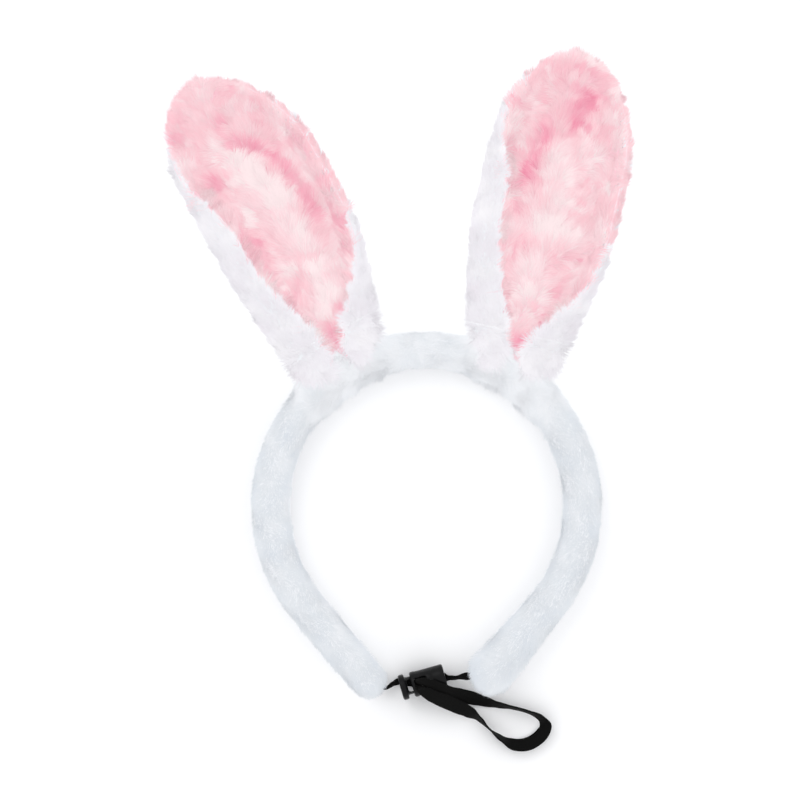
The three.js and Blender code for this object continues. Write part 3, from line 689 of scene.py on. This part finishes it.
UP = (0, 0, 1)
FREE = (6.5, 0.9)
GATHERED = (3.4, 1.5)
FLATTENED = (5.0, 1.1)
BUNCHED = (2.6, 2.2)
ACROSS = (2.2, 2.6)
LEFT_LEAD = [
    ((-30.66, -70.11, 8.6), UP, FREE),
    ((-26.80, -74.70, 8.6), UP, FREE),
    ((-24.87, -77.00, 8.6), UP, (5, 1)),
    ((-21.6, -80.9, 6.8), UP, GATHERED),
    ((-18.2, -82.2, 3.9), UP, GATHERED),
    ((-15.2, -80.6, 2.0), (-0.3, 0.4, 0.85), (2.8, 1.3)),
    ((-12.2, -79.4, 1.0), (-0.4, 0.9, 0.2), (3, 1.2)),
    ((-8.6, -79.7, 0.9), (0, 1, 0), (4, 1.1)),
    ((-5.4, -81.0, 0.95), LOCK_Y, (2.2, 1.2)),
    (in_hole(-1, 2.4), LOCK_Y, (2.2, 1.8)),
    (in_hole(-1, 7.75), LOCK_Y, ACROSS),
]
RIGHT_LEAD = [
    ((33.87, -66.28, 8.6), UP, FREE),
    ((30.01, -70.87, 8.6), UP, FREE),
    ((28.09, -73.17, 8.6), UP, (5, 1)),
    ((23.6, -75.3, 8.0), UP, GATHERED),
    ((18.4, -76.8, 6.4), (0, 0.75, 0.65), (4.2, 1.2)),
    ((13.8, -77.6, 3.8), (0, 0.2, 0.95), GATHERED),
    ((10.6, -77.8, 1.8), (0, 0.6, 0.8), (2.6, 1.3)),
    ((7.4, -77.8, 0.95), (0, 1, 0.1), FLATTENED),
    ((2.5, -77.8, 0.9), (0, 1, 0), FLATTENED),
    ((-1.6, -77.9, 0.95), LOCK_Y, (2.2, 1.4)),
    (in_hole(1, 2.4), LOCK_Y, (2.2, 1.8)),
    (in_hole(1, 7.75), LOCK_Y, ACROSS),
]
LOOP = [
    (in_hole(-1, 8.05), LOCK_X, BUNCHED),
    (in_hole(-1, 12.6), LOCK_X, BUNCHED),
    ((-2.0, -82.6, 15.6), (0.75, 0.65, 0), (4.2, 1.2)),
    ((2.6, -85.2, 15.2), (0.5, 0.86, 0), (5.6, 1)),
    ((8.2, -87.7, 11.6), (0.46, 0.88, 0.05), FREE),
    ((13.6, -90.3, 7.4), (0.44, 0.85, 0.15), FREE),
    ((19.0, -93.0, 4.6), (0.4, 0.7, 0.55), FREE),
    ((23.8, -96.2, 3.8), (0.2, 0.3, 0.95), FREE),
    ((28.2, -100.6, 3.7), (0.1, 0, 1), FREE),
    ((33.6, -104.9, 3.6), (0, -0.35, 0.95), FREE),
    ((39.6, -107.9, 3.0), (0.1, -0.75, 0.6), FREE),
    ((46.0, -107.6, 2.6), (0.4, -0.8, 0.45), FREE),
    ((51.6, -103.9, 2.6), (0.8, -0.45, 0.45), FREE),
    ((53.9, -99.6, 3.0), (0.75, 0.2, 0.6), FREE),
    ((51.6, -95.8, 3.5), (0.3, 0.3, 0.9), FREE),
    ((45.7, -93.0, 3.6), (0.1, 0.2, 0.97), FREE),
    ((38.9, -91.2, 3.6), (0, 0.25, 0.97), FREE),
    ((32.2, -89.9, 3.5), (-0.1, 0.45, 0.85), FREE),
    ((26.4, -88.4, 3.1), (-0.1, 0.75, 0.65), FREE),
    ((20.6, -86.9, 3.4), (-0.1, 0.92, 0.4), FREE),
    ((14.9, -85.3, 6.8), (0.1, 0.9, 0.4), FREE),
    ((9.8, -83.2, 11.4), (0.25, 0.9, 0.3), (5, 1)),
    ((4.2, -80.6, 13.9), (0.3, 0.9, 0.15), (4.4, 1.1)),
    ((-1.2, -78.7, 14.9), (0.6, 0.7, 0), (3.4, 1.4)),
    (in_hole(1, 12.6), LOCK_X, BUNCHED),
    (in_hole(1, 8.05), LOCK_X, BUNCHED),
]


def spline(points, steps):
    """A centripetal Catmull-Rom curve through points: its places, tangents and station numbers."""
    p = row(points)
    p = np.concatenate([[2 * p[0] - p[1]], p, [2 * p[-1] - p[-2]]])
    last = len(points) - 1
    at, number = [], []
    for i in range(last * steps + 1):
        u = i / steps
        k = min(int(u), last - 1)
        t = u - k
        a, b, c, d = p[k:k + 4]
        gaps = [max(np.linalg.norm(e - s), 1e-4) ** 0.5 for s, e in ((a, b), (b, c), (c, d))]
        m1 = (b - a) / gaps[0] - (c - a) / (gaps[0] + gaps[1]) + (c - b) / gaps[1]
        m2 = (c - b) / gaps[1] - (d - b) / (gaps[1] + gaps[2]) + (d - c) / gaps[2]
        m1, m2 = m1 * gaps[1], m2 * gaps[1]
        at.append(b + m1 * t + (3 * (c - b) - 2 * m1 - m2) * t ** 2 + (2 * (b - c) + m1 + m2) * t ** 3)
        number.append(u)
    at = row(at)
    return at, unit(np.gradient(at, axis=0)), row(number)


RIBS = 8
RING = 64
RIB_DEPTH = 0.16
PICK_DEPTH = 0.03  # of the cross threads, one ring in two
SQUARENESS = 0.45  # of the section: 1 is an ellipse, 0 a rectangle
REST_Z = 0.15 * MM


def woven_strap(name, route, steps=10):
    """A flat elastic with lengthwise ribs along a route of (place, wide direction, size)."""
    at, along, number = spline([station[0] for station in route], steps)
    theta = np.linspace(0, 2 * math.pi, RING, endpoint=False)
    flat_x = np.sign(np.cos(theta)) * np.abs(np.cos(theta)) ** SQUARENESS
    flat_y = np.sign(np.sin(theta)) * np.abs(np.sin(theta)) ** SQUARENESS
    ribs = 1 - RIB_DEPTH + RIB_DEPTH * np.abs(np.cos(flat_x * RIBS * math.pi / 2))
    rings = []
    for i, u in enumerate(number):
        k = min(int(u), len(route) - 2)
        share = smoothstep(u - k, 0, 1)
        wide = row(route[k][1]) * (1 - share) + row(route[k + 1][1]) * share
        wide = wide - along[i] * (wide @ along[i])
        wide /= np.linalg.norm(wide)
        thick = np.cross(along[i], wide)
        w, h = row(route[k][2]) * (1 - share) + row(route[k + 1][2]) * share
        pick = 1 + PICK_DEPTH * (i % 2)
        x = flat_x * w / 2
        y = flat_y * h / 2 * ribs * pick
        rings.append(np.array(CENTRE) + (at[i] + x[:, None] * wide + y[:, None] * thick) * MM)
    mesh = ringed_mesh(name, rings)
    for v in mesh.vertices:
        v.co.z = max(v.co.z, REST_Z)
    return mesh, np.array(CENTRE) + at * MM


ELASTIC = grained(material("woven_elastic", (0.0035, 0.0034, 0.0032), 0.7, 0.08), 2600, 0.4, 0.3 * MM)


def elastic(name, route, node):
    mesh, path = woven_strap(name, route)
    obj = piece(name, mesh, ELASTIC)
    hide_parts(node)
    return obj, path


left_lead, left_path = elastic("elastic_left_lead", LEFT_LEAD, "strap_left_lead")
right_lead, right_path = elastic("elastic_right_lead", RIGHT_LEAD, "strap_right_lead")
loop, loop_path = elastic("elastic_loop", LOOP, "strap_loop")
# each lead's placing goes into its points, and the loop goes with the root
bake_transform(left_lead)
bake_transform(right_lead)
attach(loop, "root")
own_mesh(loop)

# ------------------------------------------------------------ cord lock

PLASTIC = material("black_plastic", (0.004, 0.004, 0.0044), 0.32, 0.14)
BLACK_PLASTIC = grained(PLASTIC, 900, 0.12, 0.2 * MM)


def turned(name, profile, segments=72):
    """A solid turned about the lock's axis, from [x, radius] pairs in millimetres."""
    made = bmesh.new()
    rings = []
    for x, radius in profile:
        if radius < 1e-6:
            rings.append([made.verts.new((x * MM, 0, 0))])
            continue
        angles = [2 * math.pi * k / segments for k in range(segments)]
        rings.append([
            made.verts.new((x * MM, radius * MM * math.cos(a), radius * MM * math.sin(a)))
            for a in angles
        ])
    closing = rings[:1] if len(rings[0]) > 1 else []
    for one, two in zip(rings, rings[1:] + closing):
        for k in range(segments):
            n = (k + 1) % segments
            ring = [one[k % len(one)], one[n % len(one)], two[n % len(two)], two[k % len(two)]]
            corners = list(dict.fromkeys(ring))
            if len(corners) > 2:
                made.faces.new(corners)
    bmesh.ops.recalc_face_normals(made, faces=made.faces)
    mesh = bpy.data.meshes.new(name)
    made.to_mesh(mesh)
    made.free()
    return mesh


def rounded_corner(x, radius, size, start, end, steps=4):
    """Profile points round a convex corner, from one angle to another in degrees."""
    angles = [math.radians(start + (end - start) * i / steps) for i in range(steps + 1)]
    return [(x + size * math.cos(a), radius + size * math.sin(a)) for a in angles]


def cut_through(obj, start, end, half_width):
    """Cuts the strap's hole straight down through a turned piece."""
    box = bmesh.new()
    bmesh.ops.create_cube(box, size=1)
    bmesh.ops.scale(box, verts=box.verts, vec=((end - start) * MM, 2 * half_width * MM, 40 * MM))
    bmesh.ops.translate(box, verts=box.verts, vec=((start + end) / 2 * MM, 0, 0))
    upright = [e for e in box.edges if abs(e.verts[0].co.z - e.verts[1].co.z) > MM]
    bmesh.ops.bevel(box, geom=upright, offset=1.2 * MM, segments=5, profile=0.5, affect="EDGES")
    mesh = bpy.data.meshes.new("tool")
    box.to_mesh(mesh)
    box.free()
    tool = bpy.data.objects.new("tool", mesh)
    bpy.context.scene.collection.objects.link(tool)
    cut = obj.modifiers.new("hole", "BOOLEAN")
    cut.object = tool
    cut.operation = "DIFFERENCE"
    cut.solver = "EXACT"
    with_modifiers(obj)
    bpy.data.objects.remove(tool)


def lock_piece(name, profile, hole, node, body):
    obj = piece(name, turned(name, profile), BLACK_PLASTIC)
    cut_through(obj, *hole)
    edge = obj.modifiers.new("edge", "BEVEL")
    edge.width = 0.18 * MM
    edge.segments = 2
    edge.limit_method = "ANGLE"
    edge.angle_limit = math.radians(50)
    with_modifiers(obj)
    obj.data.transform(LOCK_FRAME)
    smooth_shaded(obj.data)
    obj.data.set_sharp_from_angle(angle=math.radians(38))
    obj.data.materials.clear()
    obj.data.materials.append(BLACK_PLASTIC)
    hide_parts(node)
    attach(obj, body)


BARREL_WALL_X = 14.1
PLUNGER_END_X = 8.6

lock_piece(
    "lock_barrel",
    [(0, 4.3), (BARREL_WALL_X, 4.3), (BARREL_WALL_X, 0), (15.4, 0)]
    + rounded_corner(14.6, 4.7, 0.8, 0, 90, 7) + [(10.1, 5.5), (10.0, 5.44), (9.9, 5.5), (5.0, 5.5)]
    + [(2.4, 5.6), (2.0, 5.75)] + rounded_corner(0.8, 4.95, 0.8, 90, 180, 5),
    (1.4, 7.4, 2.9), "lock_body", "cord_lock",
)
lock_piece(
    "lock_push_head",
    [(-5.3, 0)] + rounded_corner(-4.4, 4.9, 0.9, 180, 90, 6)
    + rounded_corner(-3.4, 5.0, 0.8, 90, 0, 6)
    + [(-2.6, 4.5), (-2.4, 4.1), (-2.2, 4.0), (PLUNGER_END_X, 4.0), (PLUNGER_END_X, 0)],
    (-2.1, 4.6, 2.9), "lock_plunger", "plunger",
)

# ------------------------------------------------------------ pieces inside

INSIDE = {
    "band_core": ((0.75, 0.76, 0.78), 0.45, 300),
    "band_padding": ((0.86, 0.85, 0.80), 0.95, 900),
    "band_seam_thread": ((0.88, 0.88, 0.90), 0.8, 2500),
    "left_strap_binding": ((0.80, 0.80, 0.82), 0.7, 1500),
    "right_strap_binding": ((0.80, 0.80, 0.82), 0.7, 1500),
    "lock_spring": ((0.55, 0.55, 0.56), 0.35, 1200),
}
for side in EARS:
    INSIDE[f"{side}_ear_interlining"] = ((0.86, 0.82, 0.82), 0.95, 1400)
    INSIDE[f"{side}_ear_wire"] = ((0.50, 0.50, 0.52), 0.35, 1200)
    INSIDE[f"{side}_ear_rim_thread"] = ((0.93, 0.72, 0.77), 0.8, 2500)
    INSIDE[f"{side}_ear_base_thread"] = ((0.88, 0.88, 0.90), 0.8, 2500)
for name, (colour, roughness, scale) in INSIDE.items():
    metal = name.endswith(("wire", "spring"))
    coat = grained(material(f"{name}_finish", colour, roughness), scale, 0.3, 0.2 * MM)
    coat.node_tree.nodes["Principled BSDF"].inputs["Metallic"].default_value = 1.0 if metal else 0.0
    NODES[name].data.materials.clear()
    NODES[name].data.materials.append(coat)
    NODES[name].visible_shadow = NODES[name].visible_diffuse = "_ear_" not in name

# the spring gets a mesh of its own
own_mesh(NODES["lock_spring"])

# ------------------------------------------------------------ floor and light

floor_points = row([[-3, -3, 0], [3, -3, 0], [3, 3, 0], [-3, 3, 0]])
floor_points[:, 2] = -0.3 * MM
floor_mesh = mesh_from("floor", floor_points, np.array([[0, 1, 2, 3]]))
floor = bpy.data.objects.new("floor", floor_mesh)
bpy.context.scene.collection.objects.link(floor)
floor_mesh.materials.append(material("floor_paint", (0.965, 0.965, 0.967), 0.9, 0.1))

world = bpy.data.worlds.new("studio")
world.use_nodes = True
world.node_tree.nodes["Background"].inputs["Color"].default_value = (0.98, 0.985, 1.0, 1)
world.node_tree.nodes["Background"].inputs["Strength"].default_value = 1.03
bpy.context.scene.world = world


def soft_box(name, place, size, power):
    light = bpy.data.lights.new(name, "AREA")
    light.size = size
    light.energy = power
    obj = bpy.data.objects.new(name, light)
    obj.location = place
    obj.rotation_euler = (-Vector(place)).to_track_quat("-Z", "Y").to_euler()
    bpy.context.scene.collection.objects.link(obj)


soft_box("key", (-0.9, 1.1, 1.5), 0.9, 5)
soft_box("fill", (1.4, -0.3, 1.3), 1.0, 2)
bpy.context.scene.view_settings.view_transform = "Standard"
